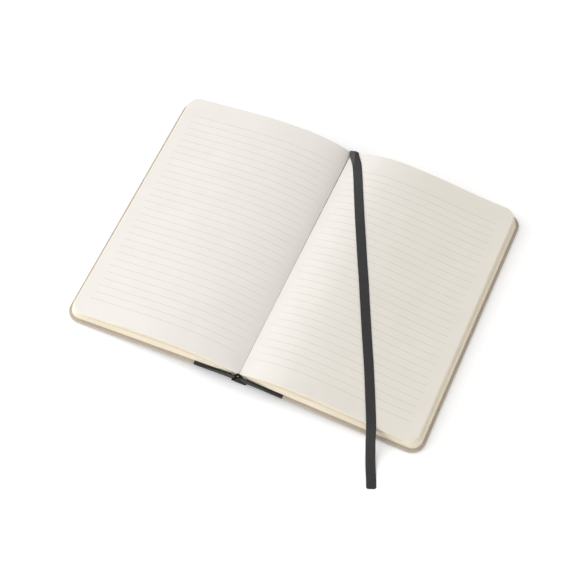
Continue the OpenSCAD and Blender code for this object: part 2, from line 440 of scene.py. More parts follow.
# Ruling on the open pages, in mm; it is fainter near the gutter
ruling = {"firstLine": 86.0, "lines": 30, "pitch": 6.0, "width": 0.3, "soft": 0.08,
          "fromGutter": 5.0, "toFore": 123.0, "strength": 0.32, "faintTo": 4.0, "fullFrom": 14.0,
          "faintest": 0.3, "ink": (0.30, 0.30, 0.30, 1)}
# Painted shade: the right page is darker and warmer from some way out of the gutter on
paperShade = {"plain": (0.845, 0.808, 0.757, 1), "shaded": (0.82, 0.776, 0.697, 1), "from": 15.0,
             "full": 70.0}


def leafMaterial(name, farPaper):
    d = ruling
    material, tree, shader = newMaterial(name, 0.78, 0.0, 0.25)
    place = restPlace(tree)
    parts = split(tree, place)
    out = absolute(tree, parts["X"])
    # Painted shade: away from the gutter the page blends to the far colour, which on the right page
    # is darker and warmer
    far = remap(tree, out, paperShade["from"], paperShade["full"])
    paper = blendColour(tree, far, paperShade["plain"], farPaper)
    fibre = placeGroup(tree, paperFibre, Place=place, Colour=paper, Amount=0.5)
    down = calc(tree, "DIVIDE", minus(tree, d["firstLine"], parts["Y"]), d["pitch"])
    nearest = absolute(tree, minus(tree, down, calc(tree, "ROUND", down)))
    line = remap(tree, times(tree, nearest, d["pitch"]), d["width"] / 2,
                 d["width"] / 2 + d["soft"], 1.0, 0.0)
    inRows = calc(tree, "COMPARE", down, (d["lines"] - 1) / 2, (d["lines"] - 1) / 2 + 0.3)
    middle = (d["fromGutter"] + d["toFore"]) / 2
    inWidth = calc(tree, "COMPARE", out, middle, d["toFore"] - middle)
    ruled = times(tree, times(tree, line, inRows), inWidth)
    ink = noise(tree, place, 0.8, 3.0)
    ruled = times(tree, ruled, calc(tree, "MULTIPLY_ADD", ink, 0.3, d["strength"] - 0.15))
    ruled = times(tree, ruled, remap(tree, out, d["faintTo"], d["fullFrom"], d["faintest"], 1.0))
    tree.links.new(blendColour(tree, ruled, fibre["Colour"], d["ink"]),
                   shader.inputs["Base Color"])
    bumpFrom(tree, shader, fibre["Height"], 0.18, 0.00006)
    return material


ruledLeaf = {"front": leafMaterial("ruledLeafFront", paperShade["plain"]),
             "back": leafMaterial("ruledLeafBack", paperShade["shaded"])}

# Stacks of leaves: steps of the mesh, single leaves at the edges, the shallow groove where two
# groups of leaves part (its place as a share of the stack's height), and the lined back, in mm
leafDetail = {"bentTo": 0.085, "bentSteps": 17, "acrossSteps": 58, "cornerSteps": 9, "alongSteps": 24,
              "edgeSink": 0.16, "topLeaf": 0.14, "leaves": 64, "leafThickness": 0.115,
              "leafDepth": 0.34, "spread": 0.16, "seed": 7, "groupAt": 0.64, "groupGap": 0.03,
              "groupWide": 0.2, "groupDip": 0.4, "lowerLean": 0.28, "linedBack": (7.0, 11.6)}
# Their cut edges are cream, with darker streaks, and painted shade in the groove, less at the corners
edgeLook = {"base": (0.95, 0.88, 0.745, 1), "streaks": (0.88, 0.85, 0.80, 1),
            "groove": (0.89, 0.87, 0.84, 1), "grooveReach": (0.04, 0.22), "cornerX": (117.0, 126.0),
            "cornerY": (90.0, 98.0)}


def leafEdgeMaterial():
    d = edgeLook
    material, tree, shader = newMaterial("leafEdge", 0.85, 0.0, 0.2)
    place = restPlace(tree)
    streak = noise(tree, stretch(tree, place, (0.05, 0.05, 5.0)), 1.0, 3.0, 0.7)
    fibre = placeGroup(tree, paperFibre, Place=place, Colour=d["base"], Amount=0.6)
    dark = blendColour(tree, 1.0, fibre["Colour"], d["streaks"], "MULTIPLY")
    mixed = blendColour(tree, remap(tree, streak, 0.4, 0.65), fibre["Colour"], dark)
    # Painted shade: the edges are coloured darker about the groove where the two groups of leaves
    # part, fading out at the corners
    level = addNode(tree, "ShaderNodeAttribute", attribute_name="leafLevel").outputs["Fac"]
    away = absolute(tree, minus(tree, level, leafDetail["groupAt"]))
    grooveShadeMask = remap(tree, away, *d["grooveReach"], 1.0, 0.0)
    parts = split(tree, place)
    corner = times(tree, remap(tree, absolute(tree, parts["X"]), *d["cornerX"]),
                   remap(tree, absolute(tree, parts["Y"]), *d["cornerY"]))
    grooveShadeMask = times(tree, grooveShadeMask, minus(tree, 1.0, corner))
    groove = blendColour(tree, 1.0, mixed, d["groove"], "MULTIPLY")
    tree.links.new(blendColour(tree, grooveShadeMask, mixed, groove), shader.inputs["Base Color"])
    bumpFrom(tree, shader, streak, 0.4, 0.0001)
    return material


leafEdge = leafEdgeMaterial()

# Ribbon: close satin ribs across in mm, darker selvedges, and a painted highlight where it turns over
satinLook = {"rib": 0.32, "thread": 0.16, "dark": (0.014, 0.0135, 0.0135, 1),
             "light": (0.042, 0.040, 0.040, 1), "selvedge": (2.9, 3.3),
             "foldHighlight": (0.082, 0.080, 0.080, 1), "foldHighlightAcross": (1.2, -3.2),
             "foldHighlightFrom": 8.0, "foldHighlightTo": 22.0, "foldHighlightFade": (14.0, 21.0)}


def satinMaterial():
    d = satinLook
    material, tree, shader = newMaterial("ribbonSatin", 0.6, 0.04, 0.15)
    place = mapPlace(tree)
    parts = split(tree, place)
    rib = absolute(tree, calc(tree, "SINE", times(tree, parts["Y"], math.pi / d["rib"])))
    weave = placeGroup(tree, threadWeave, Place=place, Across=d["thread"], Along=d["rib"],
                       Slubs=0.15)
    blotch = calc(tree, "MULTIPLY_ADD", noise(tree, place, 0.25, 4.0), 0.5, 0.75)
    # Painted shade: the colour is darker between the satin ribs and lighter on them
    shade = times(tree, calc(tree, "MULTIPLY_ADD", rib, 0.35, 0.65), blotch)
    selvedge = remap(tree, absolute(tree, parts["X"]), *d["selvedge"])
    shade = calc(tree, "SUBTRACT", shade, times(tree, selvedge, 0.3), clamp=True)
    # Painted highlight: one side of the ribbon is coloured paler where it turns over the head edge,
    # fading further on
    turned = remap(tree, parts["Y"], d["foldHighlightFrom"], d["foldHighlightTo"], *d["foldHighlightAcross"])
    foldHighlight = remap(tree, plus(tree, turned, parts["X"]), 0.0, 0.5)
    foldHighlight = times(tree, foldHighlight, remap(tree, parts["Y"], *d["foldHighlightFade"], 1.0, 0.0))
    satin = blendColour(tree, shade, d["dark"], d["light"])
    tree.links.new(blendColour(tree, foldHighlight, satin, d["foldHighlight"]), shader.inputs["Base Color"])
    tree.links.new(calc(tree, "MULTIPLY_ADD", rib, -0.12, 0.56), shader.inputs["Roughness"])
    bumpFrom(tree, shader, plus(tree, rib, times(tree, weave["Height"], 0.4)), 0.5, 0.00012)
    return material


ribbonSatin = satinMaterial()
print("materials ready")


def bendAtGutter(obj):
    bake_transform(obj)


# Ribbon marker
ribbonSizes = {"width": 7.0, "thickness": 0.3, "lift": 0.3, "rows": 300, "across": 14,
               "ripple": 0.04, "crown": 1.2, "crownEnds": 22, "fold": 6.0, "hidden": 7.0}
# It comes up outside the headband and turns over the head edge: x, y, z, rise across, turn of face
ribbonHead = [(1.1, 104.2, 2.1, 0, 90), (1.1, 104.4, 4.5, 0, 90), (1.5, 104.45, 7, 0, 90),
              (1.9, 104.4, 9, 0, 90), (2, 104.45, 10.6, 0, 88), (2, 104.2, 12, 0.02, 74),
              (2.1, 103.4, 13.1, 0.06, 48), (2.6, 102, 13.8, 0.16, 20), (3.6, 99.8, 14, 0.3, 4)]
# It then lies on the page: distance from the gutter, and place from head (1) to tail (-1)
ribbonPage = [(5.3, 0.95), (9.4, 0.885), (14.4, 0.78), (19.4, 0.67), (24.9, 0.55), (30.8, 0.425),
              (36.6, 0.305), (41.9, 0.195), (47.3, 0.085), (53, -0.03), (57.8, -0.13),
              (63.4, -0.245), (69, -0.36), (74.9, -0.48), (80.6, -0.595), (86.1, -0.71),
              (91, -0.815), (95.2, -0.905), (98.6, -0.98)]
# It bends over the tail edge and falls to the table: the same five values as at the head
ribbonTail = [(99.8, -103.6, 15.9, -0.12, -14), (100.8, -105.7, 14.7, -0.09, -36),
              (101.8, -108.4, 12.1, -0.05, -45), (103.2, -112, 8.7, -0.04, -42),
              (105.1, -116.4, 5.3, -0.02, -32), (107.2, -121.4, 2.6, 0, -20),
              (110.1, -127.8, 0.9, 0, -8), (112.9, -133.8, 0.3, 0, 0), (115.4, -139.8, 0.3, 0, 0)]


def ribbonRows():
    rows = list(ribbonHead)
    for x, share in ribbonPage:
        y = share * bookSizes["pageHeight"] / 2
        rise = pageZ("back", x + 0.5, y) - pageZ("back", x - 0.5, y)
        rows.append((x, y, pageZ("back", x, y) + ribbonSizes["lift"], rise, 0))
    return np.array(rows + ribbonTail, float)


def smoothThrough(rows, count):  # evenly spaced points on a curve through the rows
    padded = np.vstack([2 * rows[0] - rows[1], rows, 2 * rows[-1] - rows[-2]])
    fine = []
    for i in range(1, len(padded) - 2):
        a, b, c, d = padded[i - 1:i + 3]
        for t in np.linspace(0, 1, 24, endpoint=False):
            fine.append(0.5 * (2 * b + (c - a) * t + (2 * a - 5 * b + 4 * c - d) * t ** 2
                               + (3 * b - a - 3 * c + d) * t ** 3))
    fine = np.array(fine + [rows[-1]])
    run = np.concatenate([[0], np.cumsum(np.linalg.norm(np.diff(fine[:, :3], axis=0), axis=1))])
    at = np.linspace(0, run[-1], count)
    return np.stack([np.interp(at, run, fine[:, k]) for k in range(fine.shape[1])], 1), run[-1]


def makeRibbon():
    s = ribbonSizes
    rows, length = smoothThrough(ribbonRows(), s["rows"])
    count, across = len(rows), s["across"]
    # Section: a flat strip with thin rounded selvedges
    shares = np.linspace(-1, 1, across + 1)
    top = [(k, 0.5 * (1 - 0.55 * abs(k) ** 6)) for k in shares]
    section = top + [(k, -h) for k, h in reversed(top)]
    points, spots = [], []
    for i, row in enumerate(rows):
        centre = row[:3]
        way = rows[min(i + 1, count - 1)][:3] - rows[max(i - 1, 0)][:3]
        way /= np.linalg.norm(way)
        turn = math.radians(row[4])
        sideways = np.cross(way, (-row[3], math.sin(turn), math.cos(turn)))
        sideways /= np.linalg.norm(sideways)
        up = np.cross(sideways, way)
        left = length * (1 - i / (count - 1))
        at = length - left - s["hidden"]  # from where it comes out of the spine
        half = s["width"] / 2
        # Where it turns over the head edge it is arched, with the crest moving to its left side
        arched = s["crown"] * math.sin(math.pi * min(max(at / s["fold"], 0), 1) / 2)
        arched *= 0.5 + 0.5 * math.cos(math.pi * min(max(at - s["fold"], 0) / s["crownEnds"], 1))
        crest = -0.25 + 0.9 * min(max(at - s["fold"], 0) / s["crownEnds"], 1)
        corner = 1.0  # the cut end has slightly rounded corners
        if left < corner:
            half -= corner - math.sqrt(corner ** 2 - (corner - left) ** 2)
        for k, h in section:
            wave = s["ripple"] * math.sin(at * 0.21 + k * 1.4) * math.sin(at * 0.047 + 0.6)
            ridge = arched * max(1 - math.sqrt((k - crest) ** 2 + 0.02) / (1 + abs(crest)), 0)
            offset = sideways * k * half + up * (h * s["thickness"] + max(wave, -0.03) + ridge)
            points.append(centre + offset)
            spots.append((k * half, at))
    ring = len(section)
    faces = []
    for i in range(count - 1):
        for k in range(ring):
            a, b = i * ring + k, i * ring + (k + 1) % ring
            faces.append((a, b, b + ring, a + ring))
    faces.append(tuple(range(ring)))
    faces.append(tuple(range((count - 1) * ring, count * ring)))
    obj = meshObject("ribbonMarker", points, faces)
    layOut(obj, spots)
    faceOut(obj, merge=False)
    paint(obj, ribbonSatin)
    return obj, rows, length


ribbon, ribbonLine, ribbonLength = makeRibbon()
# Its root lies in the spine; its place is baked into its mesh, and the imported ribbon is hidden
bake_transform(ribbon)
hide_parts("ribbon_marker")
print("ribbon ready, length in mm:", round(ribbonLength, 1))


# Stacks of leaves
def leanShare(level):  # the lower leaves stand nearly upright, the upper ones are fanned out
    d = leafDetail
    if level < d["groupAt"]:
        return d["lowerLean"] * level / d["groupAt"]
    return d["lowerLean"] + (1 - d["lowerLean"]) * (level - d["groupAt"]) / (1 - d["groupAt"])


def stackPoint(name, across, level, y):  # x and z in a stack: across from gutter to fore edge
    turn = creaseTurn(y)
    topStart, topStartZ = creasePoint(turn)
    topX = topStart + (topEdgeX(name) - topStart) * across
    topZ = pageZ(name, topX, y)
    full = math.asin((bookSizes["gutterHeight"] - bookSizes["backLow"]) / bookSizes["backRadius"])
    startX, startZ = creasePoint(full)
    lowX = startX + (foreX - startX) * across
    ramp = min(max((lowX - bookSizes["backEdge"]) / 0.9, 0), 1)
    lowZ = startZ + (floorZ(lowX) - startZ) * ramp
    x = lowX + (topX - lowX) * leanShare(level)
    z = lowZ + (topZ - lowZ) * level
    # The back of the stack is round about the turning line
    roundX, roundZ = creasePoint(full + (turn - full) * level)
    straightX = startX + (topStart - startX) * leanShare(level)
    straightZ = startZ + (topStartZ - startZ) * level
    fade = max(1 - across / 0.03, 0)
    return x + (roundX - straightX) * fade, z + (roundZ - straightZ) * fade


def halfHeight(name, across, level):  # half of the leaf's height, less at its round corners
    foreAt = foreX + (topEdgeX(name) - foreX) * leanShare(level)
    inward = foreAt * (1 - across)
    r, half = bookSizes["pageCorner"], bookSizes["pageHeight"] / 2
    if inward >= r:
        return half
    return half - r + math.sqrt(max(r * r - (r - max(inward, 0)) ** 2, 0))


def acrossShares():
    d = leafDetail
    corner = bookSizes["pageCorner"] / 134.0 * 1.03
    base = [0, 0.003, 0.006, 0.01] + list(np.linspace(0.015, d["bentTo"], d["bentSteps"]))
    base += list(np.linspace(d["bentTo"], 1 - corner, d["acrossSteps"]))[1:]
    base += [1 - corner * (1 - math.sin(math.pi / 2 * k / d["cornerSteps"]))
             for k in range(1, d["cornerSteps"] + 1)]
    return base


def makeStack(name):
    d, sign = leafDetail, side[name]
    shares = acrossShares()
    nu, nv = len(shares), d["alongSteps"] + 1
    depth = stackSizes[name]["edge"]
    at, wide, gap, sink = d["groupAt"], d["groupWide"], d["groupGap"] / 2, d["edgeSink"]
    levels = [0, 0.02, 0.2, 0.4, at - wide, at - wide / 2, at - gap, at + gap, at + wide / 2,
              at + wide, 1 - 1.6 * d["topLeaf"] / depth, 1 - d["topLeaf"] / depth, 1]
    dips = [0, 0, 0, 0, 0, 0.6, 1.4, 1.4, 0.6, 0, 0]
    sinks = [sink + dip * d["groupDip"] for dip in dips] + [0, 0]

    def place(i, j, level, sink):
        half = halfHeight(name, shares[i], level) - sink
        y = half * (2 * j / (nv - 1) - 1)
        x, z = stackPoint(name, shares[i], level, y)
        return (sign * (x - sink * shares[i] ** 12), y, z)

    points, index = [], {}

    def vertex(i, j, k):
        if (i, j, k) not in index:
            index[(i, j, k)] = len(points)
            points.append(place(i, j, levels[k], sinks[k]))
        return index[(i, j, k)]

    last = len(levels) - 1
    faces = []
    for i in range(nu - 1):
        for j in range(nv - 1):
            for k in (0, last):
                faces.append((vertex(i, j, k), vertex(i + 1, j, k), vertex(i + 1, j + 1, k),
                              vertex(i, j + 1, k)))
    rim = [(i, 0) for i in range(nu)] + [(nu - 1, j) for j in range(1, nv)]
    rim += [(i, nv - 1) for i in range(nu - 2, -1, -1)] + [(0, j) for j in range(nv - 2, 0, -1)]
    for k in range(last):
        for n, (i, j) in enumerate(rim):
            a, b = rim[(n + 1) % len(rim)]
            faces.append((vertex(i, j, k), vertex(a, b, k), vertex(a, b, k + 1),
                          vertex(i, j, k + 1)))
    obj = meshObject(name + "Leaves", points, faces)
    heights = obj.data.attributes.new("leafLevel", "FLOAT", "POINT")
    for (i, j, k), n in index.items():
        heights.data[n].value = levels[k]
    faceOut(obj)
    sharpen(obj, 35)
    paint(obj, ruledLeaf[name], leafEdge, liningPaintedShade)
    # Painted shade: faces at the back of the stack near the spine take the near-black lining
    linedX, linedZ = d["linedBack"]
    for face in obj.data.polygons:
        atBack = abs(face.center.x) < linedX * mm and face.center.z < linedZ * mm
        if face.normal.z > 0.75:
            face.material_index = 0
        elif atBack and abs(face.normal.y) < 0.5:
            face.material_index = 2
        else:
            face.material_index = 1
    return obj


def newSolidTree(name, inputs):
    return newGroup(name, [("Geometry", "NodeSocketGeometry", None)] + inputs
                    + [("Material", "NodeSocketMaterial", None)],
                    [("Geometry", "NodeSocketGeometry")], "GeometryNodeTree")


def sweep(tree, curve, section, caps=True):
    return addNode(tree, "GeometryNodeCurveToMesh", {"Curve": curve, "Profile Curve": section,
                                                     "Fill Caps": caps}).outputs[0]


def finishTree(tree, solid, gin, gout):
    real = addNode(tree, "GeometryNodeRealizeInstances", {0: solid}).outputs[0]
    painted = addNode(tree, "GeometryNodeSetMaterial", {"Geometry": real,
                      "Material": gin["Material"]}).outputs[0]
    tree.links.new(painted, gout["Geometry"])


def leafEdgeTree():  # thin edges of single leaves between a low and a high outline
    whole = "NodeSocketInt"
    tree, gin, gout = newSolidTree("leafEdgeTree", [
        ("Leaves", whole, 60), ("Leaf Thickness", value, 0.0001), ("Leaf Depth", value, 0.0003),
        ("Spread", value, 0.0001), ("Group At", value, 0.8), ("Group Gap", value, 0.03),
        ("Group Wide", value, 0.15), ("Group Dip", value, 0.0008), ("Lower Lean", value, 0.3),
        ("Seed", whole, 1)])
    outline = addNode(tree, "GeometryNodeMeshToCurve", {0: gin["Geometry"]}).outputs[0]
    line = addNode(tree, "GeometryNodeMeshLine", {"Count": gin["Leaves"], "Offset": (0, 0, 0)})
    index = addNode(tree, "GeometryNodeInputIndex").outputs[0]
    share = calc(tree, "DIVIDE", index, minus(tree, gin["Leaves"], 1.0))
    at, lean = gin["Group At"], gin["Lower Lean"]
    halfGap = times(tree, gin["Group Gap"], 0.5)
    upper = calc(tree, "GREATER_THAN", share, at)
    lowerLevel = remap(tree, share, 0.0, at, 0.0, minus(tree, at, halfGap))
    upperLevel = remap(tree, share, at, 1.0, plus(tree, at, halfGap), 0.985)
    share = choose(tree, upper, lowerLevel, upperLevel)
    fanned = plus(tree, remap(tree, share, 0.0, at, 0.0, lean),
                  remap(tree, share, at, 1.0, 0.0, minus(tree, 1.0, lean)))
    inset = addNode(tree, "FunctionNodeRandomValue",
                    {2: 0.0, 3: gin["Spread"], "Seed": gin["Seed"]}, data_type="FLOAT").outputs[1]
    dip = remap(tree, absolute(tree, minus(tree, share, at)), 0.0, gin["Group Wide"],
                gin["Group Dip"], 0.0, interpolation_type="SMOOTHSTEP")
    stored = line.outputs[0]
    for label, source in (("leafLevel", share), ("leafInset", plus(tree, inset, dip)),
                          ("leafLean", fanned)):
        stored = addNode(tree, "GeometryNodeStoreNamedAttribute",
                         {"Geometry": stored, "Name": label, "Value": source},
                         data_type="FLOAT", domain="POINT").outputs[0]
    copies = addNode(tree, "GeometryNodeInstanceOnPoints",
                     {"Points": stored, "Instance": outline}).outputs[0]
    copies = addNode(tree, "GeometryNodeRealizeInstances", {0: copies}).outputs[0]

    def kept(name, kind="FLOAT"):
        made = addNode(tree, "GeometryNodeInputNamedAttribute", {"Name": name}, data_type=kind)
        return made.outputs[0]

    shares = join(tree, kept("leafLean"), kept("leafLean"), kept("leafLevel"))
    between = addNode(tree, "ShaderNodeMix",
                      {1: shares, 4: kept("low", "FLOAT_VECTOR"), 5: kept("high", "FLOAT_VECTOR")},
                      data_type="VECTOR", factor_mode="NON_UNIFORM").outputs[1]
    back = minus(tree, times(tree, gin["Leaf Depth"], -0.5), kept("leafInset"))
    sunk = addNode(tree, "ShaderNodeVectorMath",
                   {0: kept("outward", "FLOAT_VECTOR"), "Scale": back}, operation="SCALE")
    spot = addNode(tree, "ShaderNodeVectorMath", {0: between, 1: sunk.outputs[0]},
                   operation="ADD").outputs[0]
    placed = addNode(tree, "GeometryNodeSetPosition", {"Geometry": copies,
                     "Position": spot}).outputs[0]
    level = addNode(tree, "GeometryNodeSetCurveNormal", {0: placed}, mode="Z_UP").outputs[0]
    strip = addNode(tree, "GeometryNodeCurvePrimitiveQuadrilateral",
                    {"Width": gin["Leaf Depth"], "Height": gin["Leaf Thickness"]}).outputs[0]
    finishTree(tree, sweep(tree, level, strip), gin, gout)
    return tree


def runTree(name, base, tree, values):  # applies a node tree and leaves a plain mesh
    modifier = base.modifiers.new("nodes", "NODES")
    modifier.node_group = tree
    for item in tree.interface.items_tree:
        if getattr(item, "in_out", "") == "INPUT" and item.name in values:
            modifier[item.identifier] = values[item.name]
    graph = bpy.context.evaluated_depsgraph_get()
    mesh = bpy.data.meshes.new_from_object(base.evaluated_get(graph))
    base.modifiers.remove(modifier)
    bpy.data.objects.remove(base)
    mesh.name = name
    return linkObject(name, mesh)


def keepVectors(mesh, name, places):
    mesh.attributes.new(name, "FLOAT_VECTOR", "POINT").data.foreach_set("vector", places)


def makeLeafEdges(name, tree):
    d, sign = leafDetail, side[name]
    near, middle = d["bentTo"], 0.93
    every = acrossShares()
    shares = [a for a in every if a <= near] + [a for a in every if near < a < middle][::4]
    shares += [a for a in every if a >= middle]
    stations = [(a, -1) for a in shares] + [(a, 1) for a in reversed(shares)]

    def spot(across, end, level):
        y = end * halfHeight(name, across, level)
        x, z = stackPoint(name, across, level, y)
        return (sign * x * mm, y * mm, z * mm)

    low = [spot(a, e, 0.01) for a, e in stations]
    high = [spot(a, e, 1.0) for a, e in stations]
    mesh = bpy.data.meshes.new("outline")
    mesh.from_pydata(high, [(i, i + 1) for i in range(len(high) - 1)], [])
    outward = []
    for i in range(len(high)):
        a, b = Vector(high[max(i - 1, 0)]), Vector(high[min(i + 1, len(high) - 1)])
        way = (b - a).to_2d().normalized()
        outward.append((way.y * sign, -way.x * sign, 0))
    for key, spots in (("low", low), ("high", high), ("outward", outward)):
        keepVectors(mesh, key, np.array(spots, np.float32).ravel())
    obj = runTree(name + "LeafEdges", linkObject("outline", mesh), tree, {
        "Leaves": d["leaves"], "Leaf Thickness": d["leafThickness"] * mm,
        "Leaf Depth": d["leafDepth"] * mm, "Spread": d["spread"] * mm, "Group At": d["groupAt"],
        "Group Gap": d["groupGap"], "Group Wide": d["groupWide"], "Group Dip": d["groupDip"] * mm,
        "Lower Lean": d["lowerLean"], "Seed": d["seed"] + sign, "Material": leafEdge})
    faceOut(obj)
    return obj


def keepRestPlace(obj):
    places = np.empty(len(obj.data.vertices) * 3, np.float32)
    obj.data.vertices.foreach_get("co", places)
    keepVectors(obj.data, "restPlace", places / mm)


edgeTree = leafEdgeTree()
for name in ("front", "back"):
    stack, edges = makeStack(name), makeLeafEdges(name, edgeTree)
    for piece in (stack, edges):
        keepRestPlace(piece)
        bendAtGutter(piece)
    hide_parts(name + "_pages")
    print(name, "leaves ready, faces:", len(stack.data.polygons), len(edges.data.polygons))

# Case: cloth over the boards, with round edges and a turned-in lip
caseDetail = {"edgeRound": 0.7, "roundSteps": 5, "clothThickness": 0.35, "lip": 3.5,
              "cornerSteps": 14}


def boardOutline(inset):  # from the joint at the tail round the corners to the joint at the head
    s, d = bookSizes, caseDetail
    r = s["coverCorner"] - inset
    far, half = s["boardWidth"] - inset, s["coverHeight"] / 2 - inset
    turns = [math.pi / 2 * k / d["cornerSteps"] for k in range(d["cornerSteps"] + 1)]
    tail = [(far - r + r * math.sin(a), r - half - r * math.cos(a)) for a in turns]
    tail = [(inset, -half)] + tail
    return tail + [(u, -y) for u, y in reversed(tail)]


def coverRings():
    s, d = bookSizes, caseDetail
    e, t, c = d["edgeRound"], s["coverThickness"], d["clothThickness"]
    turns = [math.pi / 2 * k / d["roundSteps"] for k in range(d["roundSteps"] + 1)]
    rings = [(e * (1 - math.sin(a)), e * (1 - math.cos(a))) for a in turns]
    rings += [(e * (1 - math.cos(a)), t - e + e * math.sin(a)) for a in turns]
    rings += [(d["lip"] - 0.1, t), (d["lip"], t - 0.1), (d["lip"], t - c), (c, t - c), (c, c)]
    return rings


def finishShell(bm, name, material):
    bmesh.ops.recalc_face_normals(bm, faces=bm.faces)
    mesh = bpy.data.meshes.new(name)
    bm.to_mesh(mesh)
    bm.free()
    mesh.materials.append(material)
    return linkObject(name, mesh)


def makeCovering(name, fromU, toU, label, material):
    bm = bmesh.new()
    joinRings(bm, [[(u, y, w) for u, y in boardOutline(inset)] for inset, w in coverRings()])
    bmesh.ops.recalc_face_normals(bm, faces=bm.faces)
    for cut, outward in ((fromU, -1), (toU, 1)):
        if 0 < cut < bookSizes["boardWidth"]:
            done = bmesh.ops.bisect_plane(bm, geom=bm.verts[:] + bm.edges[:] + bm.faces[:],
                                          plane_co=(cut, 0, 0), plane_no=(outward, 0, 0),
                                          clear_outer=True)
            rim = [x for x in done["geom_cut"] if isinstance(x, bmesh.types.BMEdge)]
            bmesh.ops.edgenet_fill(bm, edges=rim)
    bmesh.ops.triangulate(bm, faces=[f for f in bm.faces if len(f.verts) > 4])
    for v in bm.verts:
        u, y, w = v.co
        v.co = (side[name] * outX(u, w) * mm, y * mm, upZ(u, w) * mm)
    obj = finishShell(bm, name + label, material)
    obj.data.polygons.foreach_set("use_smooth", [True] * len(obj.data.polygons))
    sharpen(obj, 30)
    return obj


# Loose cloth between board and spine; it starts just outside the spine cloth
hingeDetail = {"thickness": 0.4, "steps": 18, "rows": 22, "overBoard": 1.2, "sideGap": 0.05}


def makeHinge(name):
    s, d = bookSizes, hingeDetail
    x0 = s["spineWidth"] / 2 + d["sideGap"]
    knots = [(x0 + 0.05, 1.6, 102.4), (x0 + 0.1, s["spineSide"], 102.4), (x0 + 0.55, 5.2, 102.8),
             (x0 + 0.5, 6.9, 103.6), (outX(0, 0) - 0.1, upZ(0, 0) - 0.35, 104.3),
             (outX(0.4, -0.1), upZ(0.4, -0.1), 104.4),
             (outX(d["overBoard"], -0.02), upZ(d["overBoard"], -0.02), 104.4)]
    line, length = smoothThrough(np.array(knots, float), d["steps"] + 1)
    points, spots = [], []
    rows = d["rows"]
    for i, (x, z, half) in enumerate(line):
        a, b = line[max(i - 1, 0)], line[min(i + 1, len(line) - 1)]
        way = np.array([b[0] - a[0], b[1] - a[1]])
        way /= np.linalg.norm(way)
        inwardX, inwardZ = -way[1], way[0]
        taper = 1 if 1 < i < len(line) - 2 else 0.25
        for depth in (0, d["thickness"] * taper):
            for j in range(rows + 1):
                y = half * (2 * j / rows - 1)
                points.append((side[name] * (x + inwardX * depth), y, z + inwardZ * depth))
                spots.append((length * i / d["steps"], y))
    faces = []

    def at(i, layer, j):
        return (2 * i + layer) * (rows + 1) + j

    for i in range(d["steps"]):
        for j in range(rows):
            for layer in (0, 1):
                faces.append((at(i, layer, j), at(i + 1, layer, j), at(i + 1, layer, j + 1),
                              at(i, layer, j + 1)))
        for j in (0, rows):
            faces.append((at(i, 0, j), at(i + 1, 0, j), at(i + 1, 1, j), at(i, 1, j)))
    for i in (0, d["steps"]):
        for j in range(rows):
            faces.append((at(i, 0, j), at(i, 0, j + 1), at(i, 1, j + 1), at(i, 1, j)))
    obj = meshObject(name + "HingeCloth", points, faces)
    layOut(obj, spots)
    faceOut(obj, merge=False)
    paint(obj, hingeCloth)
    return obj


# Doubled, turned-in tail ends of the loose cloth, which stand up beside the tail band and run
# out along the board: x and z
clothEnd = {"outline": [(6.2, 8.5), (12, 8.8), (18, 9.2), (24, 9.6), (20, 10.9), (14, 12.2),
                        (10, 13.0), (7, 13.5), (4.6, 13.9), (2.4, 13.8), (2.2, 12.6), (3.3, 10.6),
                        (4.6, 9.0), (5.4, 8.2)],
            "outer": 104.95, "inner": 104.35, "round": 0.2}


def makeClothEnd(name):
    d = clothEnd
    knots = np.array(d["outline"] + d["outline"][:1], float)
    line, length = smoothThrough(knots, 72)
    line = line[:-1]
    centre = line.mean(0)
    rings = [(d["inner"], d["round"]), (d["inner"] + d["round"], 0), (d["outer"] - d["round"], 0),
             (d["outer"], d["round"])]

    def spot(point, y, inset):
        away = point - centre
        x, z = point - away / np.linalg.norm(away) * inset
        return (side[name] * x * mm, -y * mm, z * mm)

    bm = bmesh.new()
    joinRings(bm, [[spot(point, y, inset) for point in line] for y, inset in rings])
    bmesh.ops.triangulate(bm, faces=[f for f in bm.faces if len(f.verts) > 4])
    return finishShell(bm, name + "ClothEnd", spineCloth)


for name in ("front", "back"):
    flap = makeClothEnd(name)
    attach(flap, name + "_half")
    quarter, board = bookSizes["quarterWidth"], bookSizes["boardWidth"]
    for label, slot, near, far, material in (
            ("CoverCloth", "cover_cloth", quarter, board, coverCloth),
            ("SpineCloth", "spine_cloth", 0, quarter, spineCloth)):
        covering = makeCovering(name, near, far, label, material)
        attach(covering, name + "_half")
        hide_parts(name + "_" + slot)
    hinge = makeHinge(name)
    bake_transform(hinge)
    paint(nodes[name + "_board"], greyBoard)
    paint(nodes[name + "_endpaper"], endpaperPaper)
print("case ready")

# Spine: cloth trough, card, lining and end bands
paint(nodes["spine_cloth"], spineCloth)
# Painted shade: the spine card gets the near-black band thread material, as its end lies in shade
paint(nodes["spine_card"], bandThreadAndCardShade)
# The lining's near-black colour is painted shade
paint(nodes["back_lining"], liningPaintedShade)

# Each end band is a thread-wound roll over the end of the leaves' back: distance from the
# middle and height, from its top down; the open book bends it to a steep arch
bandSizes = {"roll": 0.75, "thread": 0.11, "pitch": 0.24, "place": 103.4,
             "tailPath": [(0, 15.4), (0.8, 14.6), (1.9, 12.2), (3.2, 9.2), (4.3, 6.2), (4.8, 4.2)],
             "headPath": [(0, 10.9), (1.0, 10.3), (2.2, 8.9), (3.4, 7.2), (4.3, 5.4), (4.8, 4.0)]}


def circle(tree, resolution, radius):
    return addNode(tree, "GeometryNodeCurvePrimitiveCircle",
                   {"Resolution": resolution, "Radius": radius}).outputs[0]


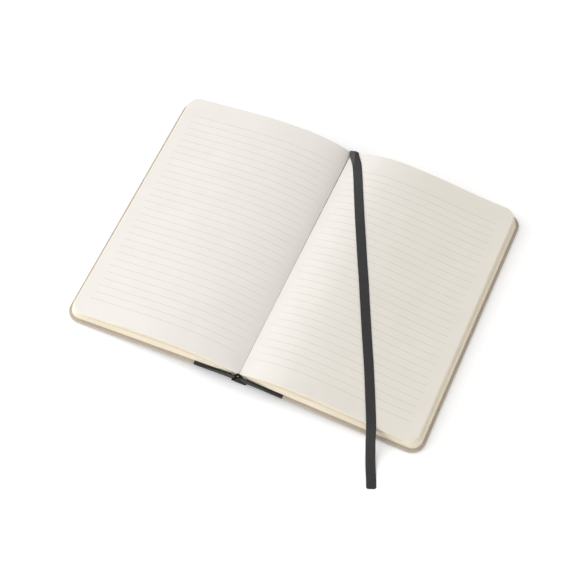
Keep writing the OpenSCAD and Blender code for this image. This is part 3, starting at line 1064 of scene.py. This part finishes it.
def bandTree():  # a core along a path, wound round with thread
    tree, gin, gout = newSolidTree("bandTree", [
        ("Core Radius", value, 0.0007), ("Thread Radius", value, 0.0001), ("Pitch", value, 0.0002)])
    path = addNode(tree, "GeometryNodeMeshToCurve", {0: gin["Geometry"]}).outputs[0]
    core = sweep(tree, path, circle(tree, 14, gin["Core Radius"]))
    spots = addNode(tree, "GeometryNodeCurveToPoints", {"Curve": path, "Length": gin["Pitch"]},
                    mode="LENGTH").outputs
    loop = sweep(tree, circle(tree, 18, gin["Core Radius"]),
                 circle(tree, 6, gin["Thread Radius"]), caps=False)
    wound = addNode(tree, "GeometryNodeInstanceOnPoints", {"Points": spots["Points"],
                    "Instance": loop, "Rotation": spots["Rotation"]}).outputs[0]
    both = addNode(tree, "GeometryNodeJoinGeometry")
    tree.links.new(wound, both.inputs[0])
    tree.links.new(core, both.inputs[0])
    finishTree(tree, both.outputs[0], gin, gout)
    return tree


threads = bandTree()
for label, end in (("headband", 1), ("tailband", -1)):
    half = bandSizes["headPath" if end > 0 else "tailPath"]
    knots = [(-x, z) for x, z in reversed(half[1:])] + half
    line, length = smoothThrough(np.array(knots, float), 60)
    mesh = bpy.data.meshes.new("bandPath")
    mesh.from_pydata([(x * mm, end * bandSizes["place"] * mm, z * mm) for x, z in line],
                     [(i, i + 1) for i in range(len(line) - 1)], [])
    band = runTree(label + "Threads", linkObject("bandPath", mesh), threads, {
        "Core Radius": bandSizes["roll"] * mm, "Thread Radius": bandSizes["thread"] * mm,
        "Pitch": bandSizes["pitch"] * mm, "Material": bandThreadAndCardShade})
    faceOut(band)
    band.data.polygons.foreach_set("use_smooth", [True] * len(band.data.polygons))
    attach(band, "spine")
    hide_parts(label)
print("spine ready")

# Floor, light and world
lightPlan = {"worldLevel": 0.48, "floorColour": (0.93, 0.93, 0.93, 1), "floorGlow": 0.22,
             "floorReach": 6}
# A large softbox above the left side, and weaker ones low in front and at both sides: place,
# size and power
softboxes = {"keyBox": ((-1.0, -0.17, 1.4), 1.6, 18.2), "fillBox": ((-0.55, -1.0, 0.22), 0.5, 4.5),
             "rightBox": ((1.1, -0.3, 0.09), 0.4, 5.0), "leftBox": ((-1.1, 0.1, 0.08), 0.4, 2.4)}


def seenOrMirrored(tree):  # rays from the camera, or by way of something glossy or clear
    path = addNode(tree, "ShaderNodeLightPath").outputs
    return calc(tree, "MAXIMUM", path["Is Transmission Ray"],
                calc(tree, "MAXIMUM", path["Is Camera Ray"], path["Is Glossy Ray"]))


floorMesh = bpy.data.meshes.new("floor")
far = lightPlan["floorReach"]
floorMesh.from_pydata([(-far, -far, 0), (far, -far, 0), (far, far, 0), (-far, far, 0)], [],
                      [(0, 1, 2, 3)])
floor = linkObject("floor", floorMesh)
floorPaint, tree, shader = newMaterial("floorPaint", 0.95, 0.0, 0.0)
shader.inputs["Base Color"].default_value = lightPlan["floorColour"]
glow = times(tree, seenOrMirrored(tree), lightPlan["floorGlow"])
lit = addNode(tree, "ShaderNodeEmission", {"Color": (1, 1, 1, 1), "Strength": glow}).outputs[0]
both = addNode(tree, "ShaderNodeAddShader", {0: shader.outputs[0], 1: lit}).outputs[0]
tree.links.new(both, tree.nodes["Material Output"].inputs[0])
floorMesh.materials.append(floorPaint)

world = bpy.data.worlds.new("studio")
bpy.context.scene.world = world
world.use_nodes = True
tree = world.node_tree
level = choose(tree, seenOrMirrored(tree), lightPlan["worldLevel"], 1.0)
back = tree.nodes["Background"]
back.inputs[0].default_value = (1, 1, 1, 1)
tree.links.new(level, back.inputs[1])

for name, (place, size, power) in softboxes.items():
    lampData = bpy.data.lights.new(name, "AREA")
    lampData.energy, lampData.size = power, size
    lamp = linkObject(name, lampData)
    lamp.location = place
    lamp.rotation_euler = Vector(place).to_track_quat("Z", "Y").to_euler()
bpy.context.scene.view_settings.view_transform = "Standard"
